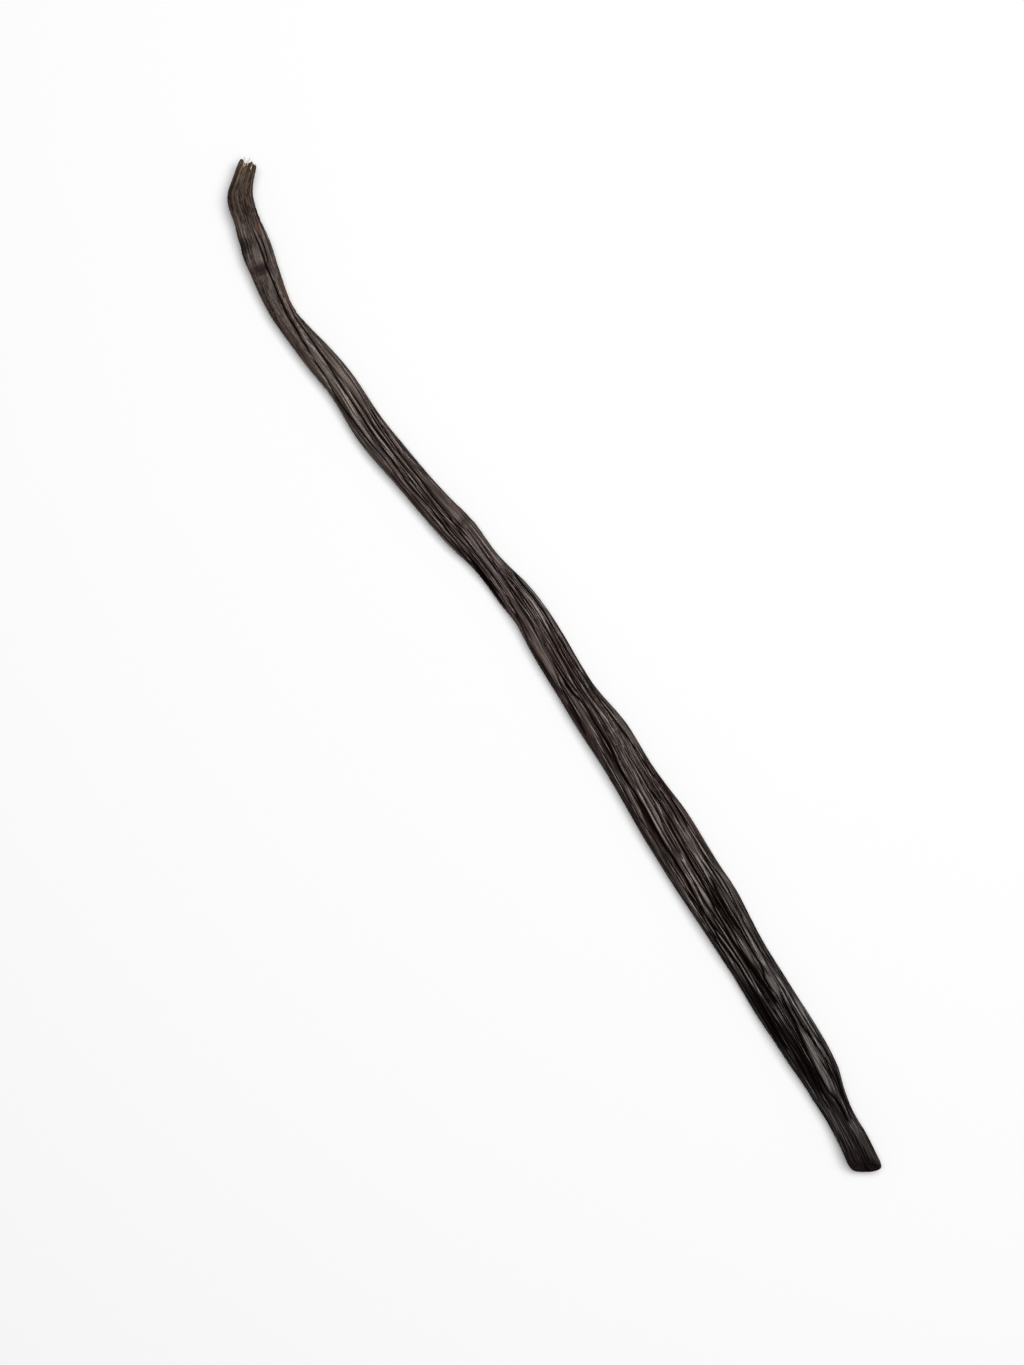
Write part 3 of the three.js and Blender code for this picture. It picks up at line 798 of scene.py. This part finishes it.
# Most rows are the skin's own uneven tone. The darkening rows along the -Y side past 100 mm are painted
# shade.
TONE_AND_SHADE_PATCHES = [
    # distance, sideways offset, half length, half width, tilt, change of tone, which paints shade on the -Y
    # side past 100 mm
    [4, -4.0, 3, 2.5, 0.0, -0.4],
    [17, -7.9, 5, 0.6, -0.15, -0.7],
    [17, -6.9, 4, 0.5, -0.2, 1.0],
    [18, -5.6, 4, 0.5, -0.2, -1.6],
    [33, -7.6, 6, 0.6, 0.0, 1.0],
    [44, -6.9, 5, 0.5, 0.1, -1.0],
    [51, -5.7, 6, 0.6, 0.15, -0.8],
    [51, -3.8, 6, 0.7, 0.15, 1.2],
    [65, -3.9, 7, 0.7, 0.12, -1.8],
    [64, -1.9, 6, 0.7, 0.12, 0.8],
    [93, -1.2, 6, 0.8, -0.02, 1.0],
    [93, 0.8, 7, 0.7, 0.02, 0.8],
    [92, 2.9, 7, 0.6, 0.05, -0.8],
    [110, 2.0, 6, 0.9, 0.0, 1.2],
    [107, -1.3, 9, 0.8, 0.0, -1.4],
    [124, -1.3, 10, 0.8, 0.0, -1.4],
    [123, 0.9, 8, 0.9, 0.0, 1.0],
    [171, 0.8, 5, 1.2, 0.0, -3.0],
]
FACING_UP = (0.1, 0.9)          # sines of the angle between which the sheen grows to its full strength

shine = 0.35 + 0.65 * smoothstep(np.sin(angle), *FACING_UP)
shine = shine * np.interp(distance, *np.transpose(SHINE_ALONG))
tone_and_shade = np.interp(distance, *np.transpose(TONE_ALONG))
tone_and_shade = tone_and_shade + sum(change * upper_patch(*place) for *place, change in TONE_AND_SHADE_PATCHES)
print("tone from", tone_and_shade.min().round(2), "to", tone_and_shade.max().round(2))

# %% Lines of painted shade, and where the kinds of skin begin and end
BLOSSOM_SKIN = (115, 160)       # distances between which one kind of skin passes into the next
STEM_SKIN = (40, 64)
WRINKLY_SKIN = (90, 130)
SLIM_RADIUS = (1.75, 2.25)
FOLD_SHARE = 0.9

main_shade = (main_furrows / FURROW_DEPTH) ** 1.5
# Painted shade along the bottoms of furrows, folds and wrinkles, darkest where they are deepest.
crease_shade = np.maximum(np.maximum(furrow_shade, FOLD_SHARE * fold_shade), main_shade)
wrinkle_share = 0.35 + 0.35 * neck + 0.25 * smoothstep(distance, *WRINKLY_SKIN)
crease_shade = np.clip(crease_shade + wrinkle_share * wrinkle_shade, 0, 1)
blossom = smoothstep(distance, *BLOSSOM_SKIN)
stemward = 1 - smoothstep(distance, *STEM_SKIN)
slimness = (1 - smoothstep(mean_radius, *SLIM_RADIUS)) * stemward
print("share of the skin in dark lines:", (crease_shade > 0.5).mean().round(3))

# %% [markdown]
# The two ends have finishes of their own. The stem tip dried out where it was torn, the dryness ends
# in a ragged line, and a little of it goes on down the neck. The broken face at the blossom end is a
# dull maroon. Beside it on the -Y side the upper skin is painted the same maroon as shade, all but a
# rim near the end, which is left out of the painted shade.

# %% The two ends
DRY_TIP = (0.3, 4.5)
DRY_NECK, NECK_DRYNESS = (5, 11), 0.3
END_SHADE_START, END_SHADE_SIDE = (174.6, 176.2), (0.9, 1.8)
RIM_PLACE, RIM_HALF_WIDTH, RIM_SHARE = 177.5, 0.25, 0.8
FACE_EDGE = (0.75, 0.97)        # radii between which the broken face passes into its rim
FACE_PLACES = (POD_LENGTH - 5, POD_LENGTH - 0.3)

dryness = 1 - smoothstep(distance + layered((1.2, 13, 3)), *DRY_TIP)
dryness = np.maximum(dryness, NECK_DRYNESS * (1 - smoothstep(distance, *DRY_NECK)))
broken_face = (1 - smoothstep(ring_radius, *FACE_EDGE)) * smoothstep(distance, *FACE_PLACES)
rim = RIM_SHARE * np.exp(-((distance - RIM_PLACE) / RIM_HALF_WIDTH) ** 2)
# Painted shade beside the blossom scar, left off a rim near the end.
end_shade = smoothstep(distance, *END_SHADE_START) * (1 - smoothstep(form[..., 1], *END_SHADE_SIDE)) * upper_skin
scar_and_end_shade = np.maximum(broken_face, end_shade * (1 - rim))
print("dry and scarred shares:", dryness.mean().round(3), scar_and_end_shade.mean().round(3))


# %% Store the attributes
def store(piece, name, values):
    attribute = piece.data.attributes.new(name, "FLOAT", "POINT")
    attribute.data.foreach_set("value", grid_values(values).astype(np.float32))


for name, values in {
    "crease_shade": crease_shade,
    "smooth_skin": smooth_skin,
    "dryness": dryness,
    "scar_and_end_shade": scar_and_end_shade,
    "dent_shade_and_spots": dent_shade_and_spots,
    "hollow_shade": hollow_shade,
    "painted_sheen": painted_sheen,
    "redness": redness,
    "tan_spots": tan_spots,
    "shine": shine,
    "tone_and_shade": tone_and_shade,
    "blossom": blossom,
    "stemward": stemward,
    "slimness": slimness,
}.items():
    store(pod_skin, name, values)

# %% Store the places on the unrolled skin
UNROLLED_RADIUS = 2.6

unrolled = (UNROLLED_RADIUS * np.cos(turn), UNROLLED_RADIUS * np.sin(turn), distance)
unrolled = np.stack([grid_values(values) for values in unrolled], axis=-1)
attribute = pod_skin.data.attributes.new("unrolled", "FLOAT_VECTOR", "POINT")
attribute.data.foreach_set("vector", unrolled.astype(np.float32).ravel())
print("attributes:", [a.name for a in pod_skin.data.attributes if not a.name.startswith(".")])

# %% [markdown]
# ## Torn fibres at the stem
# Where the pod was pulled from its stalk, pale fibres stick out of the brown tip. Each is a thin
# flattened cone that bends a little. They are modelled at their true size, under 2 mm long, and joined
# into one mesh.

# %% The shape of a fibre
FIBRE_SIDES, FIBRE_STEPS = 6, 7
ROOT_PLACE = 0.5                # how far inside the tip the fibres are rooted
SPREAD, RISE = 0.3, 0.2         # how far they lean outwards and upwards from the pod's line
FLATNESS = 0.55
POINT_RADIUS = 0.012
BOX_MARGIN, TOP_MARGIN = 0.1, 0.4       # kept free between a fibre and the end and top of the box


def fibre(start_turn, reach, length, radius):
    """Points of one fibre, ring by ring, from its root inside the tip to its point."""
    place = np.array(ROOT_PLACE)
    line, aside, upward = directions(place)
    theta = ridge_angle(start_turn, ROOT_PLACE)
    root = middle_line(place) + shift
    root = root + aside * reach * station(WIDTH, place) / 2 * math.cos(theta)
    root = root + upward * reach * station(THICKNESS, place) / 2 * math.sin(theta)
    outward = SPREAD * math.cos(theta) * aside + RISE * math.sin(theta) * upward
    lean = unit(-line + outward + rng.normal(0, 0.12, 3))
    length = min(length, (root[0] - low[0] - BOX_MARGIN) / -lean[0])
    length = min(length, (high[2] - root[2] - TOP_MARGIN) / max(lean[2], 0.1))
    curl = rng.normal(0, 0.25, 3) * length * (0, 1, 1)
    flat = unit(np.cross(lean, rng.normal(0, 1, 3)))
    thin = np.cross(lean, flat)
    rings = []
    for t in np.linspace(0, 1, FIBRE_STEPS):
        centre = root + lean * length * t + curl * t * t
        size = radius * (1 - t) ** 0.6 + POINT_RADIUS
        ring = [centre + size * (flat * math.cos(a) + FLATNESS * thin * math.sin(a))
                for a in np.linspace(0, 2 * math.pi, FIBRE_SIDES, endpoint=False)]
        rings.append(ring)
    return np.array(rings)


# %% One mesh from several tubes
def tube_mesh(name, tubes):
    """One mesh from closed tubes, each a list of rings of points."""
    points, faces = [], []
    for tube in tubes:
        base, (rings, sides) = len(points), tube.shape[:2]
        points += (tube.reshape(-1, 3) * MM).tolist()
        for i in range(rings - 1):
            for j in range(sides):
                a, b = base + i * sides + j, base + i * sides + (j + 1) % sides
                faces.append((a, b, b + sides, a + sides))
        faces.append(tuple(base + j for j in reversed(range(sides))))
        faces.append(tuple(base + (rings - 1) * sides + j for j in range(sides)))
    mesh = bpy.data.meshes.new(name)
    mesh.from_pydata(points, [], faces)
    mesh.shade_smooth()
    piece = bpy.data.objects.new(name, mesh)
    bpy.context.scene.collection.objects.link(piece)
    return piece


# %% Fibres
FIBRES = 15
SMALLEST = (0.25, 0.8, 0.07)    # reach from the middle of the tip, as a share, then length and radius
LARGEST = (0.8, 1.8, 0.17)

tubes = []
for k in range(FIBRES):
    around = 2 * math.pi * k / FIBRES + rng.normal(0, 0.2)
    reach, length, radius = rng.uniform(SMALLEST, LARGEST)
    tubes.append(fibre(around, reach, length, radius))
stem_fibres = tube_mesh("stem_fibres", tubes)
print("fibres:", FIBRES)

# %% [markdown]
# ## Shader maths as Python
# Node materials are sums and products of textures. Wiring each Math node by hand hides the idea, so
# this small class wraps a socket and lets Python's own operators add the nodes. Everything that isn't
# plain arithmetic comes from its one `node` method.


# %% A socket that can be calculated with
class Wire:
    """A socket of a node tree. Arithmetic on it adds Math nodes."""

    def __init__(self, tree, socket=None):
        self.tree, self.socket = tree, socket

    def node(self, kind, settings=None, sockets=None, output=0):
        """A new node: its settings first, then the values or wires of its sockets."""
        new = self.tree.nodes.new(kind)
        for name, value in (settings or {}).items():
            setattr(new, name, value)
        for name, value in (sockets or {}).items():
            if isinstance(value, Wire):
                self.tree.links.new(value.socket, new.inputs[name])
            else:
                new.inputs[name].default_value = value
        return Wire(self.tree, new.outputs[output])

    def maths(self, operation, *values):
        return self.node("ShaderNodeMath", {"operation": operation}, dict(enumerate(values)))

    def __add__(self, other):
        return self.maths("ADD", self, other)

    __radd__ = __add__

    def __mul__(self, other):
        return self.maths("MULTIPLY", self, other)

    __rmul__ = __mul__

    def __sub__(self, other):
        return self.maths("SUBTRACT", self, other)

    def __rsub__(self, other):
        return self.maths("SUBTRACT", other, self)

    def span(self, low, high):
        """0 below low, 1 above high and a smooth rise between them."""
        limits = {"Value": self, "From Min": low, "From Max": high}
        return self.node("ShaderNodeMapRange", {"interpolation_type": "SMOOTHSTEP"}, limits)

    def mix(self, low, high):
        """The colour low where this wire is 0 and high where it is 1."""
        return self.node("ShaderNodeMix", {"data_type": "RGBA"}, {0: self, 6: low, 7: high}, output=2)

    def stretched(self, factors):
        """This vector with each axis multiplied by a factor."""
        return self.node("ShaderNodeVectorMath", {"operation": "MULTIPLY"}, {0: self, 1: factors})

    def attribute(self, name, output="Fac"):
        return self.node("ShaderNodeAttribute", {"attribute_name": name}, output=output)

    def noise(self, vector, scale, detail=3.0, roughness=0.6):
        sockets = {"Vector": vector, "Scale": scale, "Detail": detail, "Roughness": roughness}
        return self.node("ShaderNodeTexNoise", None, sockets, output="Fac")


def new_material(name):
    """A material with its shader node and a wire to start from."""
    material = bpy.data.materials.new(name)
    material.use_nodes = True
    shader = material.node_tree.nodes["Principled BSDF"]
    return material, shader, Wire(material.node_tree)


def plug(shader, name, wire):
    wire.tree.links.new(wire.socket, shader.inputs[name])


# %% [markdown]
# ## The pod's skin
# Cured vanilla is a very dark brown, lighter near the stem and greyer near the blossom end. Long
# thin streaks run along it, and the ridges and plump patches are much paler, a painted sheen. The
# bottoms of the furrows are painted nearly black with a red tinge, as painted shade, and so are the
# large hollows. The dry stem tip is tan, with brown between its threads. Reddish and tan tints mark
# single places, and the dents are painted darker as shade.

# %% Skin colours
# The two pale colours are painted sheen. The near-black red is painted shade for furrows and hollows. The
# maroon is the scar's own colour and painted shade beside it.
SOOT = (0.006, 0.0040, 0.0036, 1)
LIGHT_BROWN = (0.056, 0.0382, 0.0305, 1)
BROWN = (0.038, 0.0205, 0.0168, 1)
GREY_BROWN = (0.017, 0.0136, 0.0131, 1)
RED_BROWN = (0.045, 0.017, 0.0135, 1)
SHEEN_PALE = (0.168, 0.131, 0.116, 1)
SHEEN_PALE_GREY = (0.20, 0.186, 0.172, 1)
SHADE_RED = (0.0024, 0.0011, 0.0010, 1)
TAN = (0.138, 0.102, 0.072, 1)
DRY_BROWN = (0.031, 0.0195, 0.0142, 1)
SPOT_TAN = (0.088, 0.051, 0.037, 1)
SCAR_AND_SHADE_MAROON = (0.0165, 0.0112, 0.0112, 1)
print("the palest skin is", round(SHEEN_PALE_GREY[1] / SHADE_RED[1]), "times as light as the furrows")

# %% [markdown]
# The streaks are noises on the unrolled skin, stretched along the pod. Fine threads cover most of it.
# The unrolled skin is equally wide everywhere, so on the slim stem end those threads would be
# squeezed together: there they give way to wider and shorter ones, mixed with a mottle.

# %% Noises of the skin
skin_material, skin_shader, start = new_material("pod_skin")
unrolled_skin = start.attribute("unrolled", "Vector")
streaks = start.noise(unrolled_skin.stretched((1, 1, 0.035)), 2.4, 4)
fine_threads = start.noise(unrolled_skin.stretched((1, 1, 0.02)), 5.5, 3, 0.65)
wide_threads = start.noise(unrolled_skin.stretched((1, 1, 0.065)), 2.9, 3, 0.65)
mottle = start.noise(unrolled_skin.stretched((1, 1, 0.35)), 4.0, 4, 0.75)
stem_threads = wide_threads * 0.5 + mottle * 0.5
threads = fine_threads + (stem_threads - fine_threads) * start.attribute("slimness")
patches = start.noise(unrolled_skin.stretched((1, 1, 0.35)), 0.4, 3)
print("nodes for the noises:", len(skin_material.node_tree.nodes))

# %% [markdown]
# The colour is built in layers, and each layer is mixed in by a mask: first the browns along the
# pod and the reddish zones, then soot between the threads, the painted sheen of streaks, ridges and
# patches, the tan spots, the two ends with the painted shade beside the scar, and last the painted
# shade of hollows, dents and furrows.

# %% Colour of the skin
crease_shade_mask = start.attribute("crease_shade").span(0.25, 0.75)
sheen_share = start.attribute("painted_sheen")
silky = start.attribute("smooth_skin")
dry = start.attribute("dryness")
hollow_shade = start.attribute("hollow_shade")

# Pale colours that paint the sheen, greyer towards the blossom end.
sheen_colour = start.attribute("blossom").mix(SHEEN_PALE, SHEEN_PALE_GREY)
flesh = start.attribute("blossom").mix(BROWN, GREY_BROWN)
flesh = start.attribute("stemward").mix(flesh, LIGHT_BROWN)
flesh = (start.attribute("redness") * 0.6).mix(flesh, RED_BROWN)
# Where the tone drops, more of the skin goes to soot between the threads; on the -Y side past 100 mm this
# is painted shade.
raised = (threads + start.attribute("tone_and_shade") * 0.025).span(0.43, 0.57)
flesh = ((1.0 - raised) * 0.85).mix(flesh, SOOT)
# Streaks, ridges and patches painted pale as sheen.
sheen_streaks = (streaks * 0.6 + patches * 0.4).span(0.44, 0.62) * threads.span(0.48, 0.6)
flesh = (sheen_streaks * (start.attribute("blossom") * 0.2 + 0.4)).mix(flesh, sheen_colour)
flesh = (sheen_share * (raised * 0.6 + 0.4) * 0.8).mix(flesh, sheen_colour)
flesh = (start.attribute("tan_spots") * (raised * 0.3 + 0.7)).mix(flesh, SPOT_TAN)
tan = (streaks * 0.3 + threads * 0.7).span(0.45, 0.56).mix(DRY_BROWN, TAN)
flesh = (dry * 0.85).mix(flesh, tan)
# The scar's own maroon, and the same maroon as painted shade beside it.
flesh = start.attribute("scar_and_end_shade").mix(flesh, SCAR_AND_SHADE_MAROON)
# The largest hollows painted dark as shade.
flesh = (hollow_shade * 0.87).mix(flesh, SHADE_RED)
# Dents painted darker as shade, and the dark spots.
flesh = (start.attribute("dent_shade_and_spots") * 0.85).mix(flesh, SOOT)
# Furrow bottoms painted near black as shade.
flesh = (crease_shade_mask * 0.97).mix(flesh, SHADE_RED)
plug(skin_shader, "Base Color", flesh)
print("nodes with the colour:", len(skin_material.node_tree.nodes))

# %% [markdown]
# The oil gives a soft sheen. It is strongest on top, where the pods rub, and almost missing from
# furrows, hollows and dents. A shader with no reflection at all, mixed in by the same masks,
# keeps those truly dark, which a change of roughness alone can't do.

# %% Roughness and grain
OIL_IOR = 1.46
OIL_SPECULAR = 0.7
WARM_WHITE = (1, 0.94, 0.91, 1)
GRAIN_HEIGHT = 0.07 * MM

plug(skin_shader, "Roughness", 0.26 + dry * 0.3 - (threads - 0.5) * 0.2)
skin_shader.inputs["IOR"].default_value = OIL_IOR
skin_shader.inputs["Specular IOR Level"].default_value = OIL_SPECULAR
skin_shader.inputs["Specular Tint"].default_value = WARM_WHITE
grain = threads * 0.75 + start.noise(unrolled_skin.stretched((1, 1, 0.3)), 9.0, 2) * 0.25
bump = start.node("ShaderNodeBump", None, {"Strength": 0.6, "Distance": GRAIN_HEIGHT, "Height": grain},
                  output="Normal")
plug(skin_shader, "Normal", bump)
print("the grain is", GRAIN_HEIGHT / MM, "mm high")

# %% Sheen
matte = start.node("ShaderNodeBsdfPrincipled", None,
                   {"Base Color": flesh, "Roughness": 0.9, "Specular IOR Level": 0.0})
polish = (1.0 - crease_shade_mask) * (raised * 0.8 + 0.2) * (streaks.span(0.4, 0.6) * 0.4 + 0.6)
polish = polish * (1.0 - hollow_shade * 0.9) * (1.0 - start.attribute("dent_shade_and_spots") * 0.8)
polish = polish * (1.0 - start.attribute("tan_spots")) * (1.0 - start.attribute("scar_and_end_shade") * 0.7)
polish = polish * start.attribute("shine") * (1.0 - silky * 0.6)
glossy = Wire(start.tree, skin_shader.outputs[0])
mixed = start.node("ShaderNodeMixShader", None, {0: polish, 1: matte, 2: glossy})
output = skin_material.node_tree.nodes["Material Output"]
mixed.tree.links.new(mixed.socket, output.inputs["Surface"])
print("skin nodes:", len(skin_material.node_tree.nodes))
pod_skin.data.materials.append(skin_material)

# %% [markdown]
# ## The fibres' finish
# Dry plant fibre is pale straw with browner husk in places and no oil on it, so it is rough. A fine
# noise passes from one colour to the other and keeps it from being flat.

# %% Fibre material
STRAW = (0.66, 0.56, 0.41, 1)
HUSK = (0.30, 0.20, 0.12, 1)
COARSE, FINE = 1800.0, 4000.0   # noise scales, which are this large because the object is in metres

fibre_material, fibre_shader, start = new_material("stem_fibre")
place = start.node("ShaderNodeTexCoord", output="Object")
plug(fibre_shader, "Base Color", start.noise(place, COARSE, 2).span(0.35, 0.6).mix(HUSK, STRAW))
plug(fibre_shader, "Roughness", start.noise(place, FINE, 2) * 0.2 + 0.6)
stem_fibres.data.materials.append(fibre_material)
print("fibre nodes:", len(fibre_material.node_tree.nodes))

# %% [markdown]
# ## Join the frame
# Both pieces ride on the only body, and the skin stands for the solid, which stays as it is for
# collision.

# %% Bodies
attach(pod_skin, "root")
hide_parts("pod")
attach(stem_fibres, "root")
print("pieces on the body root:", pod_skin.name, stem_fibres.name)

# %% [markdown]
# ## Table, light and camera
# The pod lies on a wide white table under one large soft light, as for a catalogue picture taken
# from straight above. A faint white sky all round fills the shadows.

# %% Table
TABLE_HALF = 3.0
TABLE_WHITE = (0.86, 0.86, 0.86, 1)

table_mesh = bpy.data.meshes.new("table")
corners = [(-TABLE_HALF, -TABLE_HALF, 0), (TABLE_HALF, -TABLE_HALF, 0), (TABLE_HALF, TABLE_HALF, 0),
           (-TABLE_HALF, TABLE_HALF, 0)]
table_mesh.from_pydata(corners, [], [(0, 1, 2, 3)])
table = bpy.data.objects.new("table", table_mesh)
bpy.context.scene.collection.objects.link(table)
table_material, table_shader, start = new_material("table_white")
table_shader.inputs["Base Color"].default_value = TABLE_WHITE
table_shader.inputs["Roughness"].default_value = 0.9
table_mesh.materials.append(table_material)
print("the table is", 2 * TABLE_HALF, "m wide")

# %% Where the picture's directions lie on the table
STEM_PIXEL = Vector((249, 165))
BLOSSOM_PIXEL = Vector((862, 1165))
IMAGE_SIZE = Vector((1024, 1365))
SENSOR, LENS = 36.0, 100.0
STEM_HEIGHT = 0.002             # where the stem tip is above the table, in metres

pixel_line = BLOSSOM_PIXEL - STEM_PIXEL
pixel_size = POD_LENGTH * MM / pixel_line.length
heading = pixel_line.normalized()
picture_right = Vector((heading.x, heading.y, 0))
picture_down = Vector((heading.y, -heading.x, 0))
stem_place = Vector(shift * MM)
stem_place.z = STEM_HEIGHT
off_centre = (IMAGE_SIZE / 2 - STEM_PIXEL) * pixel_size
aim = stem_place + picture_right * off_centre.x + picture_down * off_centre.y
print("one pixel is", round(pixel_size / MM, 4), "mm")

# %% Camera
camera_data = bpy.data.cameras.new("camera")
camera_data.sensor_width, camera_data.lens = SENSOR, LENS
camera = bpy.data.objects.new("camera", camera_data)
bpy.context.scene.collection.objects.link(camera)
bpy.context.scene.camera = camera
camera_height = IMAGE_SIZE.y * pixel_size * LENS / SENSOR
axes = Matrix((picture_right, -picture_down, Vector((0, 0, 1)))).transposed()
camera.matrix_world = Matrix.Translation(aim + Vector((0, 0, camera_height))) @ axes.to_4x4()
print("camera height:", round(camera_height, 3), "m")

# %% Key light
LIGHT_RIGHT, LIGHT_DOWN, LIGHT_HEIGHT = 0.12, -0.12, 0.9        # metres from the middle of the picture
LIGHT_SIZE, LIGHT_POWER = 0.7, 10.4

key_data = bpy.data.lights.new("key_light", "AREA")
key_data.shape, key_data.size, key_data.energy = "SQUARE", LIGHT_SIZE, LIGHT_POWER
key_light = bpy.data.objects.new("key_light", key_data)
bpy.context.scene.collection.objects.link(key_light)
aside = picture_right * LIGHT_RIGHT + picture_down * LIGHT_DOWN
key_light.location = aim + aside + Vector((0, 0, LIGHT_HEIGHT))
key_light.rotation_euler = (key_light.location - aim).to_track_quat("Z", "Y").to_euler()
print("key light:", LIGHT_POWER, "W from", round((key_light.location - aim).length, 2), "m")

# %% Sky
SKY_WHITE = (1, 1, 1, 1)
SKY_STRENGTH = 0.12

sky = bpy.data.worlds.new("sky")
sky.use_nodes = True
sky.node_tree.nodes["Background"].inputs["Color"].default_value = SKY_WHITE
sky.node_tree.nodes["Background"].inputs["Strength"].default_value = SKY_STRENGTH
bpy.context.scene.world = sky
bpy.context.scene.view_settings.view_transform = "Standard"
print("sky strength:", SKY_STRENGTH)
